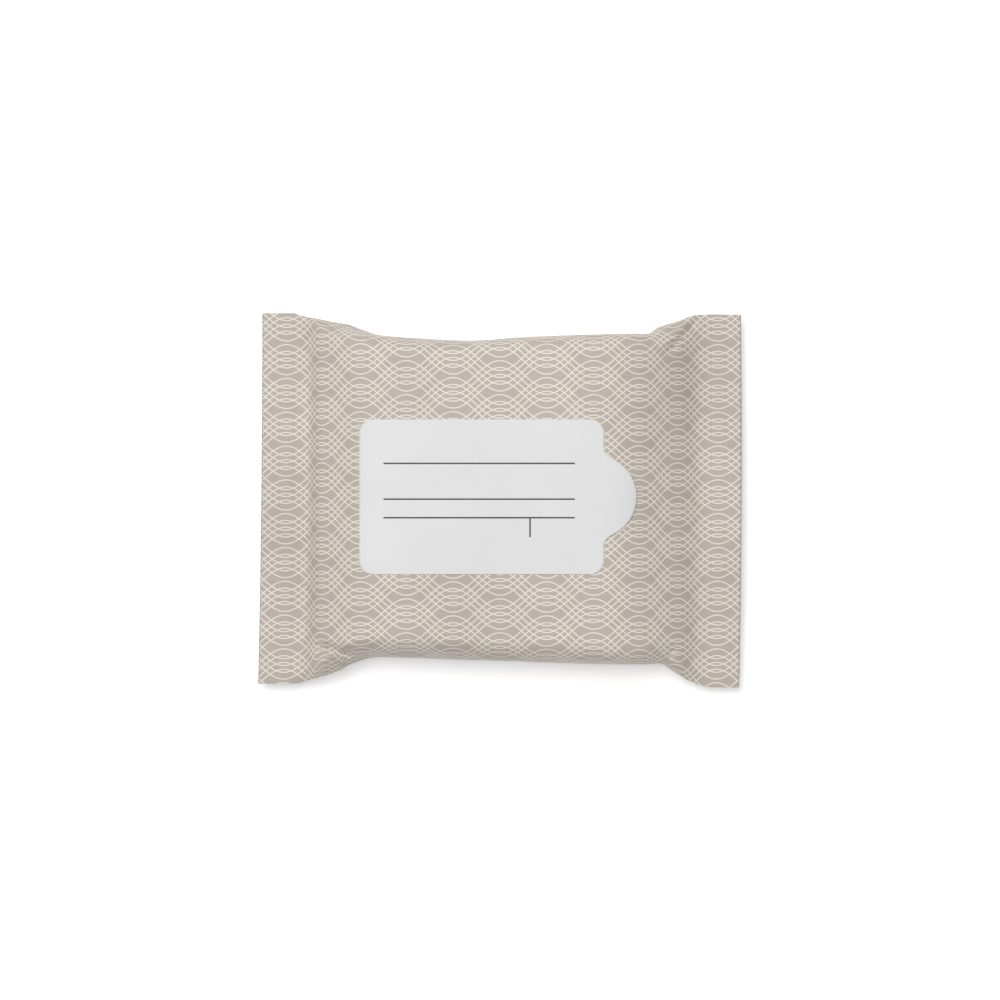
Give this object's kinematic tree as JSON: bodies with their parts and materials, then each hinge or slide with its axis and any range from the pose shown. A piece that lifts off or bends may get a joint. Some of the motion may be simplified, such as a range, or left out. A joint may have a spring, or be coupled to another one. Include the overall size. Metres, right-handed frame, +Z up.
{
  "type": "wet wipes pack",
  "caption": "Soft sealed film pack of folded moist wipes, with flared flat end seals and a resealable label with a finger tab on its top face.",
  "frame": {"origin": "middle of the footprint, on the surface that the pack lies on", "axes": "+X along the pack towards the end seal that the label's finger tab points at, +Y across the pack, +Z up out of the labelled face"},
  "size_m": [0.1715, 0.1324, 0.0263],
  "materials": {
    "printed_film": "satin printed film, warm grey with a fine cream line lattice",
    "label": "satin white label stock with thin dark rules"
  },
  "bodies": {
    "root": {"film_pack": "printed_film", "reseal_label": "label"}
  },
  "joints": []
}
